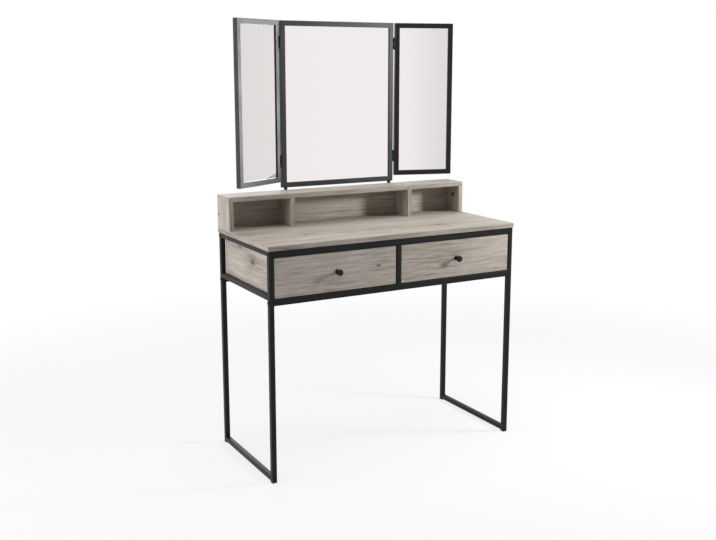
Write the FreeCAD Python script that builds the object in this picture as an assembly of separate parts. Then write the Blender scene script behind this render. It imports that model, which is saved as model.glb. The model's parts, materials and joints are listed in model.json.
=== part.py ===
import FreeCAD, Part
import os

Vector = FreeCAD.Vector

# Table, in millimetres: +X to the sitter's right, +Y to the back, +Z up
table_width = 900.0
table_depth = 400.0
table_height = 737.0
board = 15.0
board_edge_round = 0.8
top_overhang = 2.0

# Steel frame of square tube
tube = 16.0
tube_wall = 1.2
tube_corner = 2.0
cross_rail_height = 20.0
side_rail_lift = 16.0
rail_end_plate = 4.0
glide_height = 4.0
glide_plug_length = 12.0
glide_plug_clearance = 0.1
glide_round = 1.0

# Drawer carcass behind the frame
carcass_board = 12.0
carcass_back = 5.0
panel_front_clearance = 3.0

# Drawers
drawer_bay_height = 126.0
drawer_front_gap = 2.0
drawer_front_recess = 2.0
drawer_box_lift = 9.0
drawer_box_height = 92.0
drawer_box_length = 322.0
drawer_side = 12.0
drawer_bottom = 4.0
drawer_bottom_lift = 8.0
groove_depth = 5.0
groove_clearance = 0.15

# Drawer runners, one channel nested in another
runner_space = 12.5
runner_flange = 10.0
runner_sheet = 1.2
runner_height = 34.0
runner_clearance = 0.3
runner_setback = 4.0

# Drawer knobs
knob_head_radius = 10.0
knob_head_length = 9.0
knob_neck_radius = 4.5
knob_foot_radius = 7.0
knob_foot_length = 2.5
knob_reach = 23.0
knob_edge_round = 2.6

# Hutch on the tabletop
hutch_height = 109.0
hutch_depth = 100.0
hutch_back = 12.0
hutch_divider_offset = 226.0
cam_radius = 7.5
cam_depth = 11.0
cam_proud = 0.4
cam_below_top = 34.0
cam_from_front = 38.0
cam_slot_width = 2.0
cam_slot_depth = 1.5
cam_bolt_radius = 3.0
cam_bolt_bite = 10.0
side_screw_height = 45.0
dowel_radius = 4.0
dowel_bite_top = 10.0
dowel_bite_upright = 18.0
dowel_place_shares = (0.25, 0.72)

# Three-part mirror
centre_mirror_width = 432.0
centre_mirror_height = 549.0
wing_width = 212.0
wing_height = 530.0
mirror_foot_gap = 7.0
frame_face = 17.0
frame_depth = 16.0
frame_lip = 4.0
frame_rebate = 7.0
frame_edge_round = 1.0
glass_thickness = 3.0
glass_clearance = 0.4
backing_recess = 1.0
post = 10.0
post_inset = 13.5
post_lift = 10.0
post_screw_height_shares = (0.3, 0.78)
left_wing_angle = 28.0
right_wing_angle = 15.5

# Mirror hinges: barrel in front of the gap, leaves on the facing frame edges
barrel_radius = 3.0
axis_forward = 1.5
leaf_sheet = 1.5
leaf_height = 39.0
leaf_reach = 15.0
leaf_notch_clearance = 0.5
knuckle_clearance = 0.3
pin_radius = 1.5
pin_clearance = 0.05
pin_cap_radius = 2.6
pin_cap_height = 1.2
hinge_inset = 70.0
leaf_screw_height_shares = (0.2, 0.8)

# Fasteners
screw_clearance = 0.05
wood_screw_radius = 2.0
wood_screw_head_radius = 3.6
wood_screw_head_height = 1.5
wood_screw_bite = 9.0
small_screw_radius = 1.3
small_screw_head_radius = 2.4
small_screw_head_height = 0.8
small_screw_bite = 7.0
bolt_radius = 3.0
bolt_head_radius = 5.0
bolt_head_height = 1.8
sunk_head_radius = 4.6
sunk_head_height = 3.0
sunk_screw_bite = 40.0
panel_screw_shares = (0.12, 0.88)
top_screw_shares = (0.08, 0.5, 0.92)
back_screw_shares = (0.1, 0.36, 0.64, 0.9)
divider_screw_shares = (0.3, 0.7)
runner_screw_shares = (0.15, 0.85)
overrun = 2.0

# Places that follow from the sizes
knob_over = knob_reach - top_overhang - drawer_front_recess
front = knob_over - (table_depth + knob_over + frame_depth) / 2
back = front + table_depth
half_width = table_width / 2
frame_top = table_height - board
frame_half = half_width - top_overhang
frame_front = front + top_overhang
frame_back = back - top_overhang
leg_inner = frame_half - tube
bay_top = frame_top - cross_rail_height
cross_rail_top = bay_top - drawer_bay_height
cross_rail_underside = cross_rail_top - cross_rail_height
side_rail_underside = cross_rail_underside + side_rail_lift
panel_inner = leg_inner - carcass_board
divider_face = carcass_board / 2
back_panel_front = frame_back - tube - carcass_back
panel_front = frame_front + drawer_front_recess + board + panel_front_clearance
drawer_face = frame_front + drawer_front_recess
drawer_face_back = drawer_face + board
box_floor = cross_rail_top + drawer_box_lift
runner_middle = box_floor + drawer_box_height / 2
hutch_front = back - hutch_depth
hutch_top = table_height + hutch_height
upright_top = hutch_top - board
mirror_bottom = hutch_top + mirror_foot_gap
mirror_top = mirror_bottom + centre_mirror_height
mirror_half = centre_mirror_width / 2
post_offset = mirror_half - post_inset
axis_offset = mirror_half + barrel_radius
axis_y = back - axis_forward
wing_bottom = mirror_top - wing_height
hinge_middles = (wing_bottom + hinge_inset, mirror_top - hinge_inset)
knuckle_length = leaf_height / 3
sides = (("left", -1), ("right", 1))
X = Vector(1, 0, 0)
Y = Vector(0, 1, 0)
Z = Vector(0, 0, 1)


def part_way(low, high, share):
    """The place that lies a given share of the way from low to high."""
    return low + (high - low) * share


def across(sign, inner, outer):
    """X span of a piece on the left (-1) or right (+1), given its distances from the middle."""
    return tuple(sorted((sign * inner, sign * outer)))


def block(x, y, z):
    """Plain box from three (low, high) spans."""
    return Part.makeBox(x[1] - x[0], y[1] - y[0], z[1] - z[0], Vector(x[0], y[0], z[0]))


def panel(x, y, z):
    """Board with slightly eased edges."""
    plain = block(x, y, z)
    return plain.makeFillet(board_edge_round, plain.Edges)


def edges_along(shape, direction):
    """Straight edges of a shape that run along a direction."""
    found = []
    for edge in shape.Edges:
        run = edge.Vertexes[-1].Point.sub(edge.Vertexes[0].Point)
        if run.Length > 0 and abs(run.dot(direction)) / run.Length > 1 - Part.Precision.confusion():
            found.append(edge)
    return found


def steel_tube(x, y, z, direction):
    """Hollow square tube with rounded corners, open at both ends along a direction."""
    outer = block(x, y, z)
    outer = outer.makeFillet(tube_corner, edges_along(outer, direction))
    bore = []
    for (low, high), along in zip((x, y, z), direction):
        trim = -overrun if along else tube_wall
        bore.append((low + trim, high - trim))
    return outer.cut(block(*bore))


def rod(start, direction, radius, length):
    return Part.makeCylinder(radius, length, start, direction)


def drilled(shape, seats, into, radius, depth):
    """Shape with round holes that start just before each seat."""
    for seat in seats:
        shape = shape.cut(rod(seat - into * overrun, into, radius, depth + overrun))
    return shape


def screw(seat, into, radius, length, head_radius, head_height):
    """Shank that goes in from a seat, with its head standing on the seat."""
    head = rod(seat - into * head_height, into, head_radius, head_height)
    return head.fuse(rod(seat, into, radius, length)).removeSplitter()


def wood_screw(seat, into, through):
    return screw(seat, into, wood_screw_radius, through + wood_screw_bite,
                 wood_screw_head_radius, wood_screw_head_height)


def wood_holes(shape, seats, into, through):
    return drilled(shape, seats, into, wood_screw_radius + screw_clearance, through + wood_screw_bite)


# Places of the fasteners
def bolt_seats(sign):
    """Outer leg faces where a bolt goes into the end of each cross rail."""
    heights = (cross_rail_underside + cross_rail_height / 2, frame_top - cross_rail_height / 2)
    depths = (frame_front + tube / 2, frame_back - tube / 2)
    return [Vector(sign * frame_half, y, z) for y in depths for z in heights]


def top_screw_seats(sign):
    """Underside of a side top rail."""
    x = sign * (frame_half - tube / 2)
    low, high = frame_front + tube, frame_back - tube
    return [Vector(x, part_way(low, high, share), frame_top - tube) for share in top_screw_shares]


def panel_screw_seats(sign):
    """Inner face of a carcass side, opposite the two side rails."""
    heights = (side_rail_underside + tube / 2, frame_top - tube / 2)
    low, high = frame_front + tube, frame_back - tube
    places = [part_way(low, high, share) for share in panel_screw_shares]
    return [Vector(sign * panel_inner, y, z) for y in places for z in heights]


def back_screw_seats():
    """Front face of the carcass back, opposite the back top rail."""
    z = frame_top - cross_rail_height / 2
    return [Vector(part_way(-panel_inner, panel_inner, share), back_panel_front, z)
            for share in back_screw_shares]


def divider_screw_seats():
    """Back face of the carcass back, behind the centre divider."""
    return [Vector(0, frame_back - tube, part_way(cross_rail_top, bay_top, share))
            for share in divider_screw_shares]


def runner_screw_seats(sign, wall):
    """Inside of a fixed runner's web; wall is +1 on the carcass side, -1 on the divider."""
    x = panel_inner - runner_sheet if wall > 0 else divider_face + runner_sheet
    low, high = panel_front + runner_setback, panel_front + drawer_box_length
    return [Vector(sign * x, part_way(low, high, share), runner_middle) for share in runner_screw_shares]


def drawer_runner_seats(sign, wall):
    """Inside of a drawer runner's web; wall is +1 on the outer drawer side, -1 on the inner one."""
    if wall > 0:
        x = panel_inner - runner_space + runner_sheet
    else:
        x = divider_face + runner_space - runner_sheet
    low, high = drawer_face_back + runner_setback, drawer_face_back + drawer_box_length
    return [Vector(sign * x, part_way(low, high, share), runner_middle) for share in runner_screw_shares]


def post_screw_seats(sign):
    """Back face of a mirror post."""
    return [Vector(sign * post_offset, back + post, part_way(table_height, hutch_top, share))
            for share in post_screw_height_shares]


def side_screw_seat(sign):
    """Sunk seat in a hutch side, opposite the edge of the hutch back."""
    return Vector(sign * (half_width - sunk_head_height), back - hutch_back / 2, table_height + side_screw_height)


def cam_centre(sign):
    """Middle of a cam lock, on the inner face of a hutch side."""
    return Vector(sign * (half_width - board), hutch_front + cam_from_front, upright_top - cam_below_top)


def dowel_places(x, depth):
    """Middles of an upright's dowels on the tabletop."""
    return [Vector(x, hutch_front + depth * share, table_height) for share in dowel_place_shares]


def upright_middles():
    """X of each hutch upright, with the depth that its dowels share."""
    places = []
    for name, sign in sides:
        places.append((sign * (half_width - board / 2), hutch_depth - hutch_back))
        places.append((sign * hutch_divider_offset, hutch_depth - hutch_back))
    return places


def all_dowel_places():
    return [place for x, depth in upright_middles() for place in dowel_places(x, depth)]


def knob_seat(sign):
    """Middle of a drawer front, on its face."""
    x = sign * (tube / 2 + leg_inner) / 2
    return Vector(x, drawer_face, (cross_rail_top + bay_top) / 2)


# Frame
def side_frame(sign):
    """Welded loop of five tubes: two legs, a floor rail, a lower rail and a top rail."""
    x = across(sign, leg_inner, frame_half)
    between = (frame_front + tube, frame_back - tube)
    tubes = []
    for y in ((frame_front, frame_front + tube), (frame_back - tube, frame_back)):
        tubes.append(steel_tube(x, y, (glide_height, frame_top), Z))
    for underside in (glide_height, side_rail_underside, frame_top - tube):
        tubes.append(steel_tube(x, between, (underside, underside + tube), Y))
    made = []
    for piece in tubes:
        piece = drilled(piece, bolt_seats(sign), X * -sign, bolt_radius + screw_clearance, tube + overrun)
        piece = wood_holes(piece, top_screw_seats(sign), Z, tube)
        piece = wood_holes(piece, panel_screw_seats(sign), X * sign, carcass_board)
        made.append(piece)
    return made


def cross_rail(y, underside):
    """Tube between the two side frames, with a plate in each end for its bolt."""
    x = (-leg_inner, leg_inner)
    z = (underside, underside + cross_rail_height)
    rail = steel_tube(x, y, z, X)
    for sign in (-1, 1):
        plate = block(across(sign, leg_inner - rail_end_plate, leg_inner),
                      (y[0] + tube_wall, y[1] - tube_wall), (z[0] + tube_wall, z[1] - tube_wall))
        rail = rail.fuse(plate)
        rail = drilled(rail, bolt_seats(sign), X * -sign, bolt_radius + screw_clearance, tube + rail_end_plate)
    rail = wood_holes(rail, back_screw_seats(), Y, carcass_back)
    return [rail.removeSplitter()]


def centre_post():
    y = (frame_front, frame_front + tube)
    return [steel_tube((-tube / 2, tube / 2), y, (cross_rail_top, bay_top), Z)]


def foot_glides():
    """Four plastic feet, each with a plug in the open end of its leg."""
    made = []
    inset = tube_wall + glide_plug_clearance
    for name, sign in sides:
        for y in ((frame_front, frame_front + tube), (frame_back - tube, frame_back)):
            x = across(sign, leg_inner, frame_half)
            foot = block(x, y, (0, glide_height))
            foot = foot.makeFillet(glide_round, edges_along(foot, Z))
            plug = block((x[0] + inset, x[1] - inset), (y[0] + inset, y[1] - inset),
                         (glide_height, glide_height + glide_plug_length))
            made.append(foot.fuse(plug).removeSplitter())
    return made


def frame_bolts():
    made = []
    for name, sign in sides:
        for seat in bolt_seats(sign):
            made.append(screw(seat, X * -sign, bolt_radius, tube + rail_end_plate,
                              bolt_head_radius, bolt_head_height))
    return made


# Tabletop and carcass
def tabletop():
    top = panel((-half_width, half_width), (front, back), (frame_top, table_height))
    for name, sign in sides:
        top = wood_holes(top, top_screw_seats(sign), Z, tube)
    top = drilled(top, all_dowel_places(), Z * -1, dowel_radius + screw_clearance, dowel_bite_top)
    return [top]


def tabletop_screws():
    return [wood_screw(seat, Z, tube) for name, sign in sides for seat in top_screw_seats(sign)]


def side_panel(sign):
    z = (side_rail_underside, frame_top)
    wall = panel(across(sign, panel_inner, leg_inner), (panel_front, frame_back - tube), z)
    wall = wood_holes(wall, panel_screw_seats(sign), X * sign, carcass_board)
    return [wood_holes(wall, runner_screw_seats(sign, 1), X * sign, runner_sheet)]


def centre_divider():
    y = (frame_front + tube, back_panel_front)
    wall = panel((-divider_face, divider_face), y, (side_rail_underside, frame_top))
    wall = wood_holes(wall, divider_screw_seats(), Y * -1, carcass_back)
    for name, sign in sides:
        half_bite = divider_face - wood_screw_radius
        wall = drilled(wall, runner_screw_seats(sign, -1), X * -sign,
                       wood_screw_radius + screw_clearance, runner_sheet + half_bite)
    return [wall]


def back_panel():
    y = (back_panel_front, frame_back - tube)
    sheet = block((-panel_inner, panel_inner), y, (side_rail_underside, frame_top))
    sheet = wood_holes(sheet, back_screw_seats(), Y, carcass_back)
    return [wood_holes(sheet, divider_screw_seats(), Y * -1, carcass_back)]


def cabinet_screws():
    """Screws of the carcass: panels to the frame, back to the divider, fixed runners to their walls."""
    made = [wood_screw(seat, Y, carcass_back) for seat in back_screw_seats()]
    made += [wood_screw(seat, Y * -1, carcass_back) for seat in divider_screw_seats()]
    for name, sign in sides:
        made += [wood_screw(seat, X * sign, carcass_board) for seat in panel_screw_seats(sign)]
        made += [wood_screw(seat, X * sign, runner_sheet) for seat in runner_screw_seats(sign, 1)]
        for seat in runner_screw_seats(sign, -1):
            made.append(screw(seat, X * -sign, wood_screw_radius, runner_sheet + divider_face - wood_screw_radius,
                              wood_screw_head_radius, wood_screw_head_height))
    return made


# Runners: a channel lies on a wall at x and opens towards its partner
def channel(wall_x, towards, y, height):
    """C-shaped sheet-steel channel on a wall, with its flanges pointing along X."""
    low, high = runner_middle - height / 2, runner_middle + height / 2
    x = tuple(sorted((wall_x, wall_x + towards * runner_flange)))
    hollow = tuple(sorted((wall_x + towards * runner_sheet, wall_x + towards * (runner_flange + overrun))))
    solid = block(x, y, (low, high))
    return solid.cut(block(hollow, (y[0] - overrun, y[1] + overrun), (low + runner_sheet, high - runner_sheet)))


def cabinet_runners():
    y = (panel_front + runner_setback, panel_front + drawer_box_length)
    made = []
    for name, sign in sides:
        outer = channel(sign * panel_inner, -sign, y, runner_height)
        inner = channel(sign * divider_face, sign, y, runner_height)
        hole = wood_screw_radius + screw_clearance
        made.append(drilled(outer, runner_screw_seats(sign, 1), X * sign, hole, runner_sheet))
        made.append(drilled(inner, runner_screw_seats(sign, -1), X * -sign, hole, runner_sheet))
    return made


def drawer_runners(sign):
    y = (drawer_face_back + runner_setback, drawer_face_back + drawer_box_length)
    height = runner_height - (runner_sheet + runner_clearance) * 2
    outer = channel(sign * (panel_inner - runner_space), sign, y, height)
    inner = channel(sign * (divider_face + runner_space), -sign, y, height)
    hole = small_screw_radius + screw_clearance
    return [drilled(outer, drawer_runner_seats(sign, 1), X * -sign, hole, runner_sheet),
            drilled(inner, drawer_runner_seats(sign, -1), X * sign, hole, runner_sheet)]


# Drawers
def groove_block(sign):
    """Space of the bottom panel with its running room in the grooves."""
    inner = divider_face + runner_space + drawer_side - groove_depth
    outer = panel_inner - runner_space - drawer_side + groove_depth
    y = (drawer_face_back - groove_depth, drawer_face_back + drawer_box_length - drawer_side + groove_depth)
    floor = box_floor + drawer_bottom_lift
    return across(sign, inner, outer), y, (floor, floor + drawer_bottom)


def grooved(shape, sign):
    x, y, z = groove_block(sign)
    grown = [(low - groove_clearance, high + groove_clearance) for low, high in (x, y, z)]
    return shape.cut(block(*grown))


def drawer_front(sign):
    x = across(sign, tube / 2 + drawer_front_gap, leg_inner - drawer_front_gap)
    z = (cross_rail_top + drawer_front_gap, bay_top - drawer_front_gap)
    face = grooved(panel(x, (drawer_face, drawer_face_back), z), sign)
    return [drilled(face, [knob_seat(sign)], Y, small_screw_radius + screw_clearance, board + overrun)]


def drawer_sides(sign):
    y = (drawer_face_back, drawer_face_back + drawer_box_length)
    z = (box_floor, box_floor + drawer_box_height)
    outer_x = panel_inner - runner_space
    inner_x = divider_face + runner_space
    outer = block(across(sign, outer_x - drawer_side, outer_x), y, z)
    inner = block(across(sign, inner_x, inner_x + drawer_side), y, z)
    hole = small_screw_radius + screw_clearance
    depth = runner_sheet + small_screw_bite
    outer = drilled(outer, drawer_runner_seats(sign, 1), X * -sign, hole, depth)
    inner = drilled(inner, drawer_runner_seats(sign, -1), X * sign, hole, depth)
    return [grooved(outer, sign), grooved(inner, sign)]


def drawer_back(sign):
    x = across(sign, divider_face + runner_space + drawer_side, panel_inner - runner_space - drawer_side)
    end = drawer_face_back + drawer_box_length
    return [grooved(block(x, (end - drawer_side, end), (box_floor, box_floor + drawer_box_height)), sign)]


def drawer_bottom_panel(sign):
    return [block(*groove_block(sign))]


def knob(sign):
    """Turned knob: a foot on the drawer front, a neck and a rounded head."""
    seat = knob_seat(sign)
    head_start = knob_reach - knob_head_length
    turned = rod(seat, Y * -1, knob_foot_radius, knob_foot_length)
    turned = turned.fuse(rod(seat, Y * -1, knob_neck_radius, head_start))
    head = rod(seat - Y * head_start, Y * -1, knob_head_radius, knob_head_length)
    head = head.makeFillet(knob_edge_round, head.Edges)
    turned = turned.fuse(head).removeSplitter()
    pilot = rod(seat + Y * overrun, Y * -1, small_screw_radius + screw_clearance, small_screw_bite + overrun)
    return [turned.cut(pilot)]


def drawer_screws(sign):
    """Knob screw from inside the drawer, and the screws of the drawer runners."""
    made = [screw(knob_seat(sign) + Y * board, Y * -1, small_screw_radius, board + small_screw_bite,
                  small_screw_head_radius, small_screw_head_height)]
    for wall in (1, -1):
        for seat in drawer_runner_seats(sign, wall):
            made.append(screw(seat, X * (-sign * wall), small_screw_radius, runner_sheet + small_screw_bite,
                              small_screw_head_radius, small_screw_head_height))
    return made


# Hutch
def hutch_top_board():
    top = panel((-half_width, half_width), (hutch_front, back), (upright_top, hutch_top))
    for name, sign in sides:
        middle = cam_bolt_foot(sign)
        top = drilled(top, [Vector(middle.x, middle.y, upright_top)], Z,
                      cam_bolt_radius + screw_clearance, cam_bolt_bite)
    return [top]


def cam_bolt_foot(sign):
    """Lower end of a cam bolt, at the rim of its cam lock, in the middle of the board."""
    centre = cam_centre(sign)
    return Vector(sign * (half_width - board / 2), centre.y, centre.z + cam_radius)


def hutch_side(sign):
    wall = panel(across(sign, half_width - board, half_width), (hutch_front, back), (table_height, upright_top))
    wall = drilled(wall, dowel_places(sign * (half_width - board / 2), hutch_depth - hutch_back), Z,
                   dowel_radius + screw_clearance, dowel_bite_upright)
    seat = side_screw_seat(sign)
    wall = drilled(wall, [seat], X * -sign, wood_screw_radius + screw_clearance, board)
    sink = rod(seat, X * sign, sunk_head_radius + screw_clearance, sunk_head_height + overrun)
    pocket = rod(cam_centre(sign) - X * (sign * overrun), X * sign, cam_radius + screw_clearance,
                 cam_depth + overrun)
    wall = wall.cut(sink).cut(pocket)
    return [drilled(wall, [cam_bolt_foot(sign)], Z, cam_bolt_radius + screw_clearance, board + cam_below_top)]


def hutch_divider(sign):
    x = across(sign, hutch_divider_offset - board / 2, hutch_divider_offset + board / 2)
    wall = panel(x, (hutch_front, back - hutch_back), (table_height, upright_top))
    places = dowel_places(sign * hutch_divider_offset, hutch_depth - hutch_back)
    return [drilled(wall, places, Z, dowel_radius + screw_clearance, dowel_bite_upright)]


def hutch_back_panel():
    x = (board - half_width, half_width - board)
    sheet = block(x, (back - hutch_back, back), (table_height, upright_top))
    for name, sign in sides:
        sheet = wood_holes(sheet, post_screw_seats(sign), Y * -1, post)
        sheet = drilled(sheet, [side_screw_seat(sign)], X * -sign, wood_screw_radius + screw_clearance,
                        sunk_screw_bite)
    return [sheet]


def hutch_cam_locks():
    """Slotted cam in each hutch side, with the bolt that it draws down from the top."""
    made = []
    for name, sign in sides:
        centre = cam_centre(sign)
        cam = rod(centre - X * (sign * cam_proud), X * sign, cam_radius, cam_depth + cam_proud)
        face = centre.x - sign * cam_proud
        slot = block(tuple(sorted((face - sign * overrun, face + sign * cam_slot_depth))),
                     (centre.y - cam_radius, centre.y + cam_radius),
                     (centre.z - cam_slot_width / 2, centre.z + cam_slot_width / 2))
        made.append(cam.cut(slot))
        foot = cam_bolt_foot(sign)
        made.append(rod(foot, Z, cam_bolt_radius, upright_top + cam_bolt_bite - foot.z))
    return made


def hutch_side_screws():
    made = []
    for name, sign in sides:
        made.append(screw(side_screw_seat(sign), X * -sign, wood_screw_radius, sunk_screw_bite,
                          sunk_head_radius, sunk_head_height))
    return made


def hutch_dowels():
    made = []
    for place in all_dowel_places():
        made.append(rod(place - Z * dowel_bite_top, Z, dowel_radius, dowel_bite_top + dowel_bite_upright))
    return made


# Mirrors
def mitred_frame(x, z, y):
    """Four mitred members of a mirror frame, rebated behind for the glass."""
    deep = (y, y + frame_depth)
    ring = block(x, deep, z)
    window = block((x[0] + frame_face, x[1] - frame_face), (y - overrun, y + frame_depth + overrun),
                   (z[0] + frame_face, z[1] - frame_face))
    inset = frame_face - frame_rebate
    rebate = block((x[0] + inset, x[1] - inset), (y + frame_lip, y + frame_depth + overrun),
                   (z[0] + inset, z[1] - inset))
    ring = ring.cut(window).cut(rebate)
    face_edges = [edge for edge in ring.Edges if edge.BoundBox.YMax - y < frame_edge_round / 2]
    ring = ring.makeFillet(frame_edge_round, face_edges)
    outer = [(x[0], z[0]), (x[1], z[0]), (x[1], z[1]), (x[0], z[1])]
    inner = [(x[0] + frame_face, z[0] + frame_face), (x[1] - frame_face, z[0] + frame_face),
             (x[1] - frame_face, z[1] - frame_face), (x[0] + frame_face, z[1] - frame_face)]
    members = []
    for this, that in ((0, 1), (1, 2), (2, 3), (3, 0)):
        corners = [outer[this], outer[that], inner[that], inner[this], outer[this]]
        outline = Part.makePolygon([Vector(cx, y, cz) for cx, cz in corners])
        members.append(ring.common(Part.Face(outline).extrude(Y * frame_depth)))
    return members


def mirror_sheet(x, z, y, start, thickness):
    """Glass or backing board that lies in a frame's rebate."""
    inset = frame_face - frame_rebate + glass_clearance
    return [block((x[0] + inset, x[1] - inset), (y + start, y + start + thickness), (z[0] + inset, z[1] - inset))]


backing_thickness = frame_depth - frame_lip - glass_thickness - backing_recess
centre_x = (-mirror_half, mirror_half)
centre_z = (mirror_bottom, mirror_top)
wing_z = (wing_bottom, mirror_top)


def wing_x(sign):
    """X span of a wing opened flat, in line with the centre mirror."""
    return across(sign, axis_offset + barrel_radius, axis_offset + barrel_radius + wing_width)


def leaf_seats(sign, half):
    """Screw seats on a hinge leaf's bare face; half is -1 on the fixed leaf, +1 on the wing's leaf."""
    x = sign * (axis_offset + half * (barrel_radius - leaf_sheet))
    y = axis_y + (barrel_radius + leaf_reach) / 2
    seats = []
    for middle in hinge_middles:
        for share in leaf_screw_height_shares:
            seats.append(Vector(x, y, part_way(middle - leaf_height / 2, middle + leaf_height / 2, share)))
    return seats


def hinge_leaves(sign, half):
    """Upper and lower leaf of one half: -1 lies on the centre frame, +1 on the wing opened flat."""
    made = []
    outward = sign * half
    notch = barrel_radius + leaf_notch_clearance
    for middle in hinge_middles:
        low = middle - leaf_height / 2
        axis_x = sign * axis_offset
        plate_x = tuple(sorted((axis_x + outward * (barrel_radius - leaf_sheet), axis_x + outward * barrel_radius)))
        leaf = block(plate_x, (axis_y + notch, axis_y + leaf_reach), (low, low + leaf_height))
        if half < 0:
            spans = ((0, knuckle_length), (leaf_height - knuckle_length, leaf_height))
        else:
            spans = ((knuckle_length + knuckle_clearance, leaf_height - knuckle_length - knuckle_clearance),)
        for start, end in spans:
            tab = block(plate_x, (axis_y, axis_y + notch), (low + start, low + end))
            knuckle = rod(Vector(axis_x, axis_y, low + start), Z, barrel_radius, end - start)
            leaf = leaf.fuse(tab).fuse(knuckle)
        bore = rod(Vector(axis_x, axis_y, low - overrun), Z, pin_radius + pin_clearance,
                   leaf_height + overrun * 2)
        leaf = leaf.cut(bore).removeSplitter()
        made.append(drilled(leaf, leaf_seats(sign, half), X * outward, small_screw_radius + screw_clearance,
                            leaf_sheet))
    return made


def hinge_pins():
    made = []
    for name, sign in sides:
        for middle in hinge_middles:
            foot = Vector(sign * axis_offset, axis_y, middle - leaf_height / 2)
            pin = rod(foot, Z, pin_radius, leaf_height)
            pin = pin.fuse(rod(foot - Z * pin_cap_height, Z, pin_cap_radius, pin_cap_height))
            pin = pin.fuse(rod(foot + Z * leaf_height, Z, pin_cap_radius, pin_cap_height))
            made.append(pin.removeSplitter())
    return made


def leaf_screws(sign, half):
    return [screw(seat, X * (sign * half), small_screw_radius, leaf_sheet + small_screw_bite,
                  small_screw_head_radius, small_screw_head_height) for seat in leaf_seats(sign, half)]


def screwed_members(members, sign, half):
    """Frame members with the pilot holes of a hinge's screws."""
    hole = small_screw_radius + screw_clearance
    depth = leaf_sheet + small_screw_bite
    return [drilled(member, leaf_seats(sign, half), X * (sign * half), hole, depth) for member in members]


def centre_mirror_frame():
    members = mitred_frame(centre_x, centre_z, back)
    for name, sign in sides:
        members = screwed_members(members, sign, -1)
    return members


def folded(shapes, sign, angle):
    """Pieces of a wing turned forward about its hinge axis, from flat to where it stands."""
    axis_foot = Vector(sign * axis_offset, axis_y, 0)
    return [shape.rotated(axis_foot, Z, -sign * angle) for shape in shapes]


def mirror_post(sign):
    x = across(sign, post_offset - post / 2, post_offset + post / 2)
    bar = steel_tube(x, (back, back + post), (table_height + post_lift, mirror_bottom), Z)
    return [wood_holes(bar, post_screw_seats(sign), Y * -1, post)]


def post_screws():
    return [wood_screw(seat, Y * -1, post) for name, sign in sides for seat in post_screw_seats(sign)]


# All nodes
nodes = {
    "tabletop": tabletop(),
    "front_top_rail": cross_rail((frame_front, frame_front + tube), frame_top - cross_rail_height),
    "front_lower_rail": cross_rail((frame_front, frame_front + tube), cross_rail_underside),
    "back_top_rail": cross_rail((frame_back - tube, frame_back), frame_top - cross_rail_height),
    "back_lower_rail": cross_rail((frame_back - tube, frame_back), cross_rail_underside),
    "centre_post": centre_post(),
    "foot_glides": foot_glides(),
    "frame_bolts": frame_bolts(),
    "tabletop_screws": tabletop_screws(),
    "centre_divider": centre_divider(),
    "back_panel": back_panel(),
    "cabinet_runners": cabinet_runners(),
    "cabinet_screws": cabinet_screws(),
    "hutch_top": hutch_top_board(),
    "hutch_back": hutch_back_panel(),
    "hutch_cam_locks": hutch_cam_locks(),
    "hutch_side_screws": hutch_side_screws(),
    "hutch_dowels": hutch_dowels(),
    "centre_mirror_frame": centre_mirror_frame(),
    "centre_mirror_glass": mirror_sheet(centre_x, centre_z, back, frame_lip, glass_thickness),
    "centre_mirror_backing": mirror_sheet(centre_x, centre_z, back, frame_lip + glass_thickness,
                                          backing_thickness),
    "post_screws": post_screws(),
    "hinge_pins": hinge_pins(),
    "fixed_hinge_screws": leaf_screws(-1, -1) + leaf_screws(1, -1),
}
for name, sign in sides:
    angle = left_wing_angle if sign < 0 else right_wing_angle
    nodes[name + "_side_frame"] = side_frame(sign)
    nodes[name + "_side_panel"] = side_panel(sign)
    nodes["hutch_" + name + "_side"] = hutch_side(sign)
    nodes["hutch_" + name + "_divider"] = hutch_divider(sign)
    nodes[name + "_mirror_post"] = mirror_post(sign)
    nodes[name + "_hinge_fixed_leaves"] = hinge_leaves(sign, -1)
    nodes[name + "_drawer_front"] = drawer_front(sign)
    nodes[name + "_drawer_sides"] = drawer_sides(sign)
    nodes[name + "_drawer_back"] = drawer_back(sign)
    nodes[name + "_drawer_bottom"] = drawer_bottom_panel(sign)
    nodes[name + "_drawer_runners"] = drawer_runners(sign)
    nodes[name + "_drawer_knob"] = knob(sign)
    nodes[name + "_drawer_screws"] = drawer_screws(sign)
    flat_wing = {
        "_wing_frame": screwed_members(mitred_frame(wing_x(sign), wing_z, back), sign, 1),
        "_wing_glass": mirror_sheet(wing_x(sign), wing_z, back, frame_lip, glass_thickness),
        "_wing_backing": mirror_sheet(wing_x(sign), wing_z, back, frame_lip + glass_thickness, backing_thickness),
        "_wing_hinge_leaves": hinge_leaves(sign, 1),
        "_wing_hinge_screws": leaf_screws(sign, 1),
    }
    for suffix, shapes in flat_wing.items():
        nodes[name + suffix] = folded(shapes, sign, angle)

os.makedirs("parts", exist_ok=True)
for node, shapes in nodes.items():
    whole = shapes[0] if len(shapes) == 1 else Part.makeCompound(shapes)
    whole.exportStep("parts/" + node + ".step")
    print(node, "solids", len(whole.Solids), "volume", round(whole.Volume))
print("hinge axis x", axis_offset, "y", axis_y, "nodes", len(nodes))
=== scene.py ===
import json
import math

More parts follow.
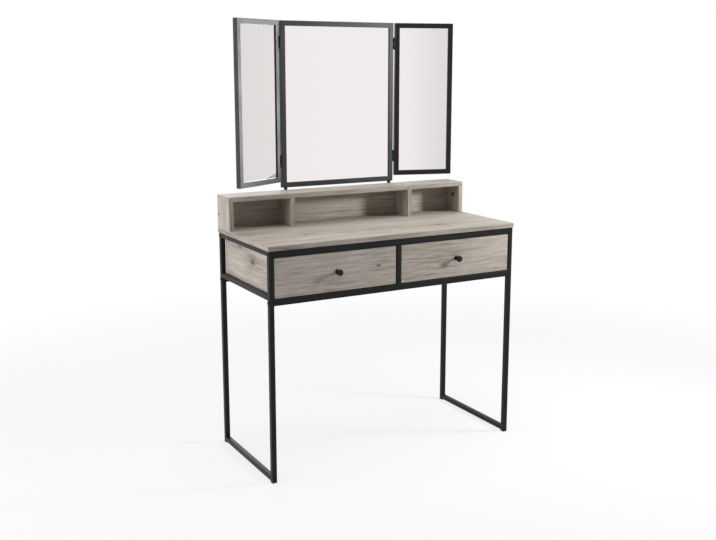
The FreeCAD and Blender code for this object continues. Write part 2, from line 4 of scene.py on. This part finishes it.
import bpy
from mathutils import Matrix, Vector

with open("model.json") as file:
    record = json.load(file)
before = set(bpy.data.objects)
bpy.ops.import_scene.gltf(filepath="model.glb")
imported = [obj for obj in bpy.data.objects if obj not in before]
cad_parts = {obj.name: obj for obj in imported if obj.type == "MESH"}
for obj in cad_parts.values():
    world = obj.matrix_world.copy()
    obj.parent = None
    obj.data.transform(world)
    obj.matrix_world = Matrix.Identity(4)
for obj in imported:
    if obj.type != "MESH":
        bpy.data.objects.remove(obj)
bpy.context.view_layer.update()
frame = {"nodes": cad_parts, "record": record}

# Camera: the photograph's viewing angle, in metres, degrees and pixels
image_width = 716
sensor_width = 36.0
focal_pixels = 973.5
camera_place = Vector((-1.5858, -2.7594, 1.2571))
camera_yaw = 29.28
camera_pitch = -10.65
camera_shift_share = -0.03

# Studio
floor_radius = 40.0
floor_sides = 96
floor_fade_start = 0.9
floor_fade_end = 2.8
floor_glow_share = 0.78
floor_colour = (0.74, 0.74, 0.74, 1)
white = (1, 1, 1, 1)
world_fill = 0.17

# Board finish: greige wood-grain foil, from dark streaks to pale ground
grain_darkest = (0.110, 0.084, 0.062, 1)
grain_dark = (0.250, 0.212, 0.174, 1)
grain_mid = (0.410, 0.369, 0.322, 1)
grain_pale = (0.540, 0.503, 0.456, 1)
ring_spacing = 0.016
ring_drift = 8.8
knot_stretch = 2.2
knot_rings = 2.6
foil_warm = (1.02, 0.985, 0.960, 1)
foil_cool = (0.975, 1.0, 1.005, 1)
# Edge bands: a slightly darker band tone, partly painted shade where front edges take less light
edge_band_tone_and_painted_shade = (0.89, 0.88, 0.88, 1)
grain_stops = ((0.08, grain_darkest), (0.30, grain_dark), (0.50, grain_mid), (0.74, grain_pale))
foil_gloss = 0.3
foil_roughness = (0.62, 0.46)
foil_relief, foil_relief_depth = 0.35, 0.00012
fibre_relief = 0.5
edge_facing = 0.7

# Grain layers: cycles per metre along, across and through the board, and weight in the tone
mottle_scale, mottle_weight = (3.0, 11.0, 6.0), 0.55
bands_scale, bands_weight = (3.4, 80.0, 40.0), 0.5
streaks_scale, streaks_weight = (15.0, 240.0, 200.0), 0.5
fibres_scale, fibres_weight = (13.0, 620.0, 620.0), 0.4
pores_scale, pores_weight = (48.0, 760.0, 760.0), 0.12
pores_range = (0.58, 0.72)
drift_scale = (2.0, 7.0, 4.0)
tint_scale = (2.2, 6.0, 5.0)
ring_patch_scale, ring_patch_range = (2.1, 5.0, 5.0), (0.36, 0.66)
ring_strength = (0.008, 0.045)
swirl_fall, core_fall = -0.5, -13.0
flame_range, flame_weights = (-0.6, 1.0), (0.06, 0.24)
core_weight = 0.45
board_step = (3.7, 1.3, 0.7)

# Metal finishes
coat_gloss = 0.16
powder_black = (0.0055, 0.0055, 0.0056, 1)
frame_black = (0.010, 0.0105, 0.012, 1)
knob_black = (0.010, 0.0065, 0.005, 1)
zinc_grey = (0.58, 0.59, 0.60, 1)
# Mirror glass colours: silver tint with painted reflection, the wings darker than the centre and each glass
# changing across its width
centre_silver_and_reflection = (0.872, 0.830, 0.828, 1)
wing_silver_and_reflection = (0.735, 0.708, 0.700, 1)
centre_pale_reflection = (0.885, 0.845, 0.843, 1)
wing_pale_reflection = (0.760, 0.732, 0.724, 1)
cam_grey = (0.09, 0.085, 0.08, 1)
zinc_roughness, cam_roughness, spangle_roughness = 0.28, 0.4, 0.15
spangle_scale, spangle_shade = 420.0, 0.8
skin_scale, cloud_scale = 900.0, 9.0
skin_relief, skin_depth = 0.12, 0.0002
wipe_scale, wipe_range = (6.0, 6.0, 2.0), (0.35, 0.75)
glass_roughness = (0.012, 0.03)

# Coats: colour, roughness, and how much paler the clouds are
coat_values = {
    "black_powder_coat": (powder_black, 0.42, 0.5), "mirror_frame_coat": (frame_black, 0.36, 0.3),
    "black_oxide": (powder_black, 0.35, 0.2), "knob_coat": (knob_black, 0.33, 0.3),
}

# Plain boards, dowels and feet
hardboard_dark, hardboard_pale = (0.20, 0.155, 0.115, 1), (0.36, 0.29, 0.22, 1)
drawer_base_dark, drawer_base_pale = (0.32, 0.29, 0.26, 1), (0.44, 0.41, 0.37, 1)
beech_dark, beech_pale = (0.52, 0.37, 0.22, 1), (0.68, 0.52, 0.34, 1)
foot_black = (0.014, 0.014, 0.014, 1)
fleck_scale, fleck_weight, fleck_relief = 260.0, 0.75, 0.2
pulp_scale, pulp_weight = 14.0, 0.25
beech_scale = (500.0, 500.0, 20.0)
moulding_scale, moulding_relief, moulding_pale = 1400.0, 0.25, 1.6
plain_relief_depth = 0.0002
board_roughness, smooth_roughness = 0.78, 0.6

# Lamps: place, aim, width and height in metres, power in watts, and the nodes lit where not all are
table_middle = (0, 0, 0.75)
knob_middle = (0.1, -0.1, 0.7)
mirror_middle = (0, 0.1, 1.1)
lamps = {
    "overhead": ((0.0, -0.2, 3.4), table_middle, (2.4, 2.4), 48, ()),
    "left_box": ((-3.2, 0.2, 1.3), table_middle, (2.0, 2.0), 70, ()),
    "right_key": ((1.5, -0.75, 1.15), knob_middle, (0.2, 0.2), 25, ()),
    "back_box": ((0.6, 3.0, 2.0), table_middle, (2.0, 2.0), 30, ()),
    "wing_rim": ((2.6, -0.12, 1.15), mirror_middle, (0.7, 1.6), 105, ("left_wing_frame",)),
    "mirror_rim": ((2.3, -2.3, 1.9), mirror_middle, (0.7, 1.6), 170, ("centre_mirror_frame",)),
}


class Tree:
    """Node tree of one new material, with short calls to add and join its nodes."""

    def __init__(self, name):
        self.material = bpy.data.materials.new(name)
        self.material.use_nodes = True
        self.nodes = self.material.node_tree.nodes
        self.links = self.material.node_tree.links
        self.shader = self.nodes["Principled BSDF"]

    def node(self, kind, inputs=None, **settings):
        made = self.nodes.new("ShaderNode" + kind)
        for key, value in settings.items():
            setattr(made, key, value)
        for key, value in (inputs or {}).items():
            self.feed(made.inputs[key], value)
        return made

    def feed(self, socket, value):
        if isinstance(value, bpy.types.NodeSocket):
            self.links.new(value, socket)
        else:
            socket.default_value = value

    def set(self, **inputs):
        """Shader inputs by name, with _ for a space."""
        for key, value in inputs.items():
            self.feed(self.shader.inputs[key.replace("_", " ")], value)

    def math(self, operation, first, second=0.0):
        return self.node("Math", {0: first, 1: second}, operation=operation).outputs[0]

    def place(self):
        return self.node("TexCoord").outputs["Object"]

    def scaled(self, vector, scale, offset=(0, 0, 0)):
        return self.node("Mapping", {"Vector": vector, "Scale": scale, "Location": offset}).outputs[0]

    def noise(self, vector, scale, detail=2.0, roughness=0.5):
        made = self.node("TexNoise", {"Vector": self.scaled(vector, scale), "Scale": 1.0,
                                      "Detail": detail, "Roughness": roughness})
        return made.outputs["Fac"]

    def fit(self, value, low, high, to_low=0.0, to_high=1.0):
        """Smooth step of a value from one range to another."""
        made = self.node("MapRange", {0: value, 1: low, 2: high, 3: to_low, 4: to_high},
                         interpolation_type="SMOOTHSTEP")
        return made.outputs[0]

    def ramp(self, value, stops):
        made = self.node("ValToRGB", {0: value})
        elements = made.color_ramp.elements
        while len(elements) < len(stops):
            elements.new(1.0)
        for element, (at, colour) in zip(elements, stops):
            element.position = at
            element.color = colour
        return made.outputs[0]

    def mix(self, share, first, second, blend="MIX"):
        made = self.node("Mix", data_type="RGBA", blend_type=blend)
        colours = [s for s in made.inputs if s.type == "RGBA"]
        self.feed(made.inputs[0], share)
        self.feed(colours[0], first)
        self.feed(colours[1], second)
        return next(s for s in made.outputs if s.type == "RGBA")

    def mix_vector(self, share, first, second):
        made = self.node("Mix", data_type="VECTOR")
        vectors = [s for s in made.inputs if s.type == "VECTOR"]
        self.feed(made.inputs[0], share)
        self.feed(vectors[-2], first)
        self.feed(vectors[-1], second)
        return next(s for s in made.outputs if s.type == "VECTOR")

    def bump(self, height, strength, distance):
        made = self.node("Bump", {"Height": height, "Strength": strength, "Distance": distance})
        self.links.new(made.outputs[0], self.shader.inputs["Normal"])


def even(scale):
    return (scale, scale, scale)


def toned(colour, factor):
    """A colour made paler or darker."""
    return tuple(channel * factor for channel in colour[:3]) + (1,)


# Materials
def board_coordinates(tree, grain, faces):
    """Coordinates along the grain, across it and through the board, on faces and edge bands alike."""
    across = next(axis for axis in "XYZ" if axis not in (grain, faces))
    spot = tree.node("SeparateXYZ", {0: tree.place()}).outputs
    normal = tree.node("SeparateXYZ", {0: tree.node("NewGeometry").outputs["True Normal"]}).outputs

    def ordered(*axes):
        made = tree.node("CombineXYZ", dict(enumerate(spot[axis] for axis in axes)))
        return made.outputs[0]

    def facing(axis):
        return tree.math("GREATER_THAN", tree.math("ABSOLUTE", normal[axis]), edge_facing)

    on_long_edge, on_end = facing(across), facing(grain)
    where = tree.mix_vector(on_long_edge, ordered(grain, across, faces), ordered(grain, faces, across))
    where = tree.mix_vector(on_end, where, ordered(across, faces, grain))
    on_edge = tree.math("MAXIMUM", on_long_edge, on_end)
    return where, on_edge


def knot(tree, where, place, size):
    """Swirl and dark core of a knot: two values that fall off round a place along and across the grain."""
    along, over = tree.node("SeparateXYZ", {0: where}).outputs[:2]
    du = tree.math("MULTIPLY", tree.math("SUBTRACT", along, place[0]), 1 / (size * knot_stretch))
    dv = tree.math("MULTIPLY", tree.math("SUBTRACT", over, place[1]), 1 / size)
    square = tree.math("ADD", tree.math("MULTIPLY", du, du), tree.math("MULTIPLY", dv, dv))
    swirl = tree.math("EXPONENT", tree.math("MULTIPLY", square, swirl_fall))
    core = tree.math("EXPONENT", tree.math("MULTIPLY", square, core_fall))
    return swirl, core


def board_finish(name, grain, faces, offset, knots=()):
    """Printed wood grain: broad bands, growth rings that bend round knots, fibres and short pores."""
    tree = Tree(name)
    where, on_edge = board_coordinates(tree, grain, faces)
    shifted = tree.scaled(where, (1, 1, 1), offset)
    mottle = tree.noise(shifted, mottle_scale, detail=2.5)
    bands = tree.noise(shifted, bands_scale, detail=3.0, roughness=0.6)
    streaks = tree.noise(shifted, streaks_scale, detail=2.0, roughness=0.6)
    drift = tree.noise(shifted, drift_scale, detail=2.5, roughness=0.55)
    over = tree.node("SeparateXYZ", {0: where}).outputs[1]
    turns = tree.math("ADD", tree.math("MULTIPLY", over, 1 / ring_spacing),
                      tree.math("MULTIPLY", drift, ring_drift))
    near, cores = 0.0, 0.0
    for place, size in knots:
        swirl, core = knot(tree, where, place, size)
        turns = tree.math("ADD", turns, tree.math("MULTIPLY", swirl, knot_rings))
        near = tree.math("ADD", near, swirl)
        cores = tree.math("ADD", cores, core)
    rings = tree.math("SINE", tree.math("MULTIPLY", turns, 2 * math.pi))
    patches = tree.noise(shifted, ring_patch_scale, detail=1.0)
    strength = tree.fit(patches, *ring_patch_range, *ring_strength)
    fibres = tree.noise(shifted, fibres_scale, detail=2.0, roughness=0.6)
    pores = tree.fit(tree.noise(shifted, pores_scale, detail=1.0), *pores_range)
    tone = 0.5
    layers = ((mottle, mottle_weight), (bands, bands_weight), (streaks, streaks_weight), (fibres, fibres_weight))
    for layer, weight in layers:
        tone = tree.math("ADD", tone, tree.math("MULTIPLY", tree.math("SUBTRACT", layer, 0.5), weight))
    tone = tree.math("ADD", tone, tree.math("MULTIPLY", rings, strength))
    tone = tree.math("SUBTRACT", tone, tree.math("MULTIPLY", pores, pores_weight))
    if knots:
        flames = tree.math("MULTIPLY", near, tree.fit(rings, *flame_range, *flame_weights))
        shade = tree.math("ADD", flames, tree.math("MULTIPLY", cores, core_weight))
        on_face = tree.math("SUBTRACT", 1.0, on_edge)
        tone = tree.math("SUBTRACT", tone, tree.math("MULTIPLY", shade, on_face))
    colour = tree.ramp(tone, grain_stops)
    tint = tree.noise(shifted, tint_scale, detail=1.0)
    colour = tree.mix(1.0, colour, tree.mix(tint, foil_warm, foil_cool), "MULTIPLY")
    # Edge bands darkened: partly the band's own tone, partly painted shade
    colour = tree.mix(on_edge, colour, tree.mix(1.0, colour, edge_band_tone_and_painted_shade, "MULTIPLY"))
    tree.set(Base_Color=colour, Roughness=tree.fit(fibres, 0.2, 0.8, *foil_roughness),
             Specular_IOR_Level=foil_gloss)
    relief = tree.math("SUBTRACT", tree.math("MULTIPLY", fibres, fibre_relief), pores)
    tree.bump(relief, foil_relief, foil_relief_depth)
    return tree.material


def powder_coat(name, colour, roughness, speckle):
    """Satin paint over steel: a fine orange-peel skin and slight unevenness of tone."""
    tree = Tree(name)
    where = tree.place()
    skin = tree.noise(where, even(skin_scale), detail=2.0)
    cloud = tree.noise(where, even(cloud_scale), detail=3.0)
    paler = toned(colour, 1 + speckle)
    tree.set(Base_Color=tree.mix(tree.fit(cloud, 0.3, 0.7), colour, paler), Specular_IOR_Level=coat_gloss,
             Roughness=tree.fit(cloud, 0.25, 0.75, roughness - 0.05, roughness + 0.06))
    tree.bump(skin, skin_relief, skin_depth)
    return tree.material


def mirror_glass(name, left_painted_reflection, right_painted_reflection, span):
    """Silvered glass whose colour holds painted reflection, changing in brightness across its width, and the
    lightest of wipe marks.
    """
    tree = Tree(name)
    across = tree.node("SeparateXYZ", {0: tree.place()}).outputs["X"]
    # Painted reflection: the glass colour shifts from one tone to the other across the width
    share = tree.fit(across, span[0], span[1])
    wipe = tree.noise(tree.place(), wipe_scale, detail=2.0)
    tree.set(Base_Color=tree.mix(share, left_painted_reflection, right_painted_reflection), Metallic=1.0,
             Roughness=tree.fit(wipe, *wipe_range, *glass_roughness))
    return tree.material


def fibreboard(name, dark, pale):
    """Plain pressed board with flecks of fibre."""
    tree = Tree(name)
    where = tree.place()
    flecks = tree.noise(where, even(fleck_scale), detail=4.0, roughness=0.7)
    cloud = tree.noise(where, even(pulp_scale), detail=2.0)
    mixed = tree.math("ADD", tree.math("MULTIPLY", flecks, fleck_weight),
                      tree.math("MULTIPLY", cloud, pulp_weight))
    tree.set(Base_Color=tree.ramp(mixed, ((0.3, dark), (0.7, pale))), Roughness=board_roughness)
    tree.bump(flecks, fleck_relief, plain_relief_depth)
    return tree.material


def plated_metal(name, colour, roughness):
    """Bare plated metal with a grained, slightly spangled face."""
    tree = Tree(name)
    where = tree.place()
    spangle = tree.node("TexVoronoi", {"Vector": where, "Scale": spangle_scale}).outputs["Color"]
    grey = tree.node("RGBToBW", {0: spangle}).outputs[0]
    darker = toned(colour, spangle_shade)
    tree.set(Base_Color=tree.mix(grey, darker, colour), Metallic=1.0,
             Roughness=tree.fit(grey, 0.2, 0.8, roughness, roughness + spangle_roughness))
    return tree.material


def moulded_plastic(name, colour):
    """Black moulding with a fine pebbled face."""
    tree = Tree(name)
    grain = tree.noise(tree.place(), even(moulding_scale), detail=1.0)
    paler = toned(colour, moulding_pale)
    tree.set(Base_Color=tree.mix(grain, colour, paler), Roughness=smooth_roughness)
    tree.bump(grain, moulding_relief, plain_relief_depth)
    return tree.material


def bare_beech(name):
    """Turned dowel wood with fibres along its length."""
    tree = Tree(name)
    fibres = tree.noise(tree.place(), beech_scale, detail=2.0)
    tree.set(Base_Color=tree.ramp(fibres, ((0.3, beech_dark), (0.7, beech_pale))), Roughness=smooth_roughness)
    return tree.material


def dress(node, material):
    """The finish of a carried-over CAD node."""
    for slot in frame["nodes"][node].material_slots:
        slot.material = material


# Grain and face directions of each board
boards = {
    "tabletop": ("X", "Z"), "hutch_top": ("X", "Z"), "hutch_back": ("X", "Y"), "centre_divider": ("Y", "X"),
}
for name in ("left", "right"):
    boards[name + "_side_panel"] = ("Y", "X")
    boards["hutch_" + name + "_side"] = ("Z", "X")
    boards["hutch_" + name + "_divider"] = ("Z", "X")
    boards[name + "_drawer_front"] = ("X", "Y")
    boards[name + "_drawer_sides"] = ("Y", "X")
    boards[name + "_drawer_back"] = ("X", "Y")

# Knots: place along and across the grain, and size, in metres
board_knots = {
    "tabletop": [((0.214, -0.102), 0.010), ((-0.258, -0.06), 0.013)],
    "left_side_panel": [((-0.037, 0.660), 0.021), ((0.06, 0.694), 0.010)],
    "right_side_panel": [((0.05, 0.640), 0.012)],
    "left_drawer_front": [((-0.074, 0.643), 0.008)],
}


def finish_boards():
    """Foil on each board, with the grain begun at another place."""
    for number, (node, (grain, faces)) in enumerate(sorted(boards.items())):
        offset = tuple(number * step for step in board_step)
        dress(node, board_finish(node + "_foil", grain, faces, offset, board_knots.get(node, ())))


def finish_metal_and_glass():
    """A finish for each other material slot of the record, and the three mirrors' glass."""
    coats = {name: powder_coat(name, *values) for name, values in coat_values.items()}
    finishes = {
        "black_frame": coats["black_powder_coat"], "mirror_frame": coats["mirror_frame_coat"],
        "black_hardware": coats["black_oxide"], "hinge_metal": coats["black_oxide"],
        "knob_black": coats["knob_coat"],
        "zinc_hardware": plated_metal("zinc_plate", zinc_grey, zinc_roughness),
        "cam_metal": plated_metal("dark_cast_zinc", cam_grey, cam_roughness),
        "back_board": fibreboard("hardboard", hardboard_dark, hardboard_pale),
        "drawer_base": fibreboard("drawer_base_board", drawer_base_dark, drawer_base_pale),
        "dowel_wood": bare_beech("beech_dowel"),
        "foot_plastic": moulded_plastic("foot_plastic_grain", foot_black),
    }
    for row in frame["record"]["subparts"]:
        if row["material_slot"] in finishes:
            dress(row["node"], finishes[row["material_slot"]])
    # Glass colours hold painted reflection: the wings darker than the centre, each changing across its width
    dress("centre_mirror_glass", mirror_glass("centre_glass_painted_reflection", centre_silver_and_reflection, centre_pale_reflection, (-0.2, 0.2)))
    dress("left_wing_glass", mirror_glass("left_glass_painted_reflection", wing_silver_and_reflection, wing_pale_reflection, (-0.4, -0.2)))
    dress("right_wing_glass", mirror_glass("right_glass_painted_reflection", centre_silver_and_reflection, wing_silver_and_reflection, (0.24, 0.42)))


# Floor, backdrop, lamps and camera
def seen_rays(tree):
    """1 for rays that show the backdrop: from the camera, off gloss or through glass."""
    path = tree.node("LightPath").outputs
    sharp = tree.math("MAXIMUM", path["Is Glossy Ray"], path["Is Transmission Ray"])
    return tree.math("MAXIMUM", path["Is Camera Ray"], sharp)


def studio_floor():
    """Pale floor that keeps the shadow near the object and fades to the white backdrop."""
    angles = [2 * math.pi * side / floor_sides for side in range(floor_sides)]
    ring = [(floor_radius * math.cos(angle), floor_radius * math.sin(angle), 0) for angle in angles]
    mesh = bpy.data.meshes.new("floor")
    mesh.from_pydata(ring, [], [list(range(floor_sides))])
    floor = bpy.data.objects.new("floor", mesh)
    bpy.context.scene.collection.objects.link(floor)
    tree = Tree("floor_paper")
    away = tree.node("VectorMath", {0: tree.place()}, operation="LENGTH").outputs["Value"]
    fade = tree.fit(away, floor_fade_start, floor_fade_end)
    paper = tree.node("BsdfDiffuse", {"Color": floor_colour}).outputs[0]
    share = tree.fit(fade, 0.0, 1.0, floor_glow_share, 1.0)
    seen = tree.math("MULTIPLY", share, seen_rays(tree))
    glow = tree.node("Emission", {"Color": white, "Strength": 1.0}).outputs[0]
    joined = tree.node("MixShader", {0: seen, 1: paper, 2: glow}).outputs[0]
    tree.links.new(joined, tree.nodes["Material Output"].inputs["Surface"])
    floor.data.materials.append(tree.material)


class WorldTree(Tree):
    """The world's node tree."""

    def __init__(self):
        world = bpy.data.worlds.new("studio")
        bpy.context.scene.world = world
        world.use_nodes = True
        self.nodes = world.node_tree.nodes
        self.links = world.node_tree.links


def studio_world():
    """White where it is seen, and a soft fill where it lights."""
    tree = WorldTree()
    background = tree.nodes["Background"]
    background.inputs["Color"].default_value = white
    strength = tree.fit(seen_rays(tree), 0.0, 1.0, world_fill, 1.0)
    tree.links.new(strength, background.inputs["Strength"])


def softbox(name, place, target, size, power):
    """Soft rectangular lamp that the camera doesn't see."""
    lamp = bpy.data.lights.new(name, "AREA")
    lamp.shape = "RECTANGLE"
    lamp.size, lamp.size_y = size
    lamp.energy = power
    made = bpy.data.objects.new(name, lamp)
    made.location = place
    made.rotation_mode = "QUATERNION"
    made.rotation_quaternion = (Vector(target) - Vector(place)).to_track_quat("-Z", "Y")
    made.visible_camera = False
    bpy.context.scene.collection.objects.link(made)
    return made


def light_only(lamp, nodes):
    """The lamp lights these nodes and nothing else."""
    lit = bpy.data.collections.new(lamp.name + "_lit")
    for node in nodes:
        lit.objects.link(frame["nodes"][node])
    lamp.light_linking.receiver_collection = lit


def studio_lights():
    for name, (place, target, size, power, nodes) in lamps.items():
        lamp = softbox(name, place, target, size, power)
        if nodes:
            light_only(lamp, nodes)


def studio_camera():
    lens = bpy.data.cameras.new("camera")
    lens.sensor_width = sensor_width
    lens.lens = focal_pixels / image_width * sensor_width
    lens.shift_y = camera_shift_share
    camera = bpy.data.objects.new("camera", lens)
    camera.location = camera_place
    camera.rotation_euler = (math.radians(90 + camera_pitch), 0, math.radians(-camera_yaw))
    bpy.context.scene.collection.objects.link(camera)
    bpy.context.scene.camera = camera


finish_boards()
finish_metal_and_glass()
studio_floor()
studio_world()
studio_lights()
studio_camera()
bpy.context.scene.view_settings.view_transform = "Standard"
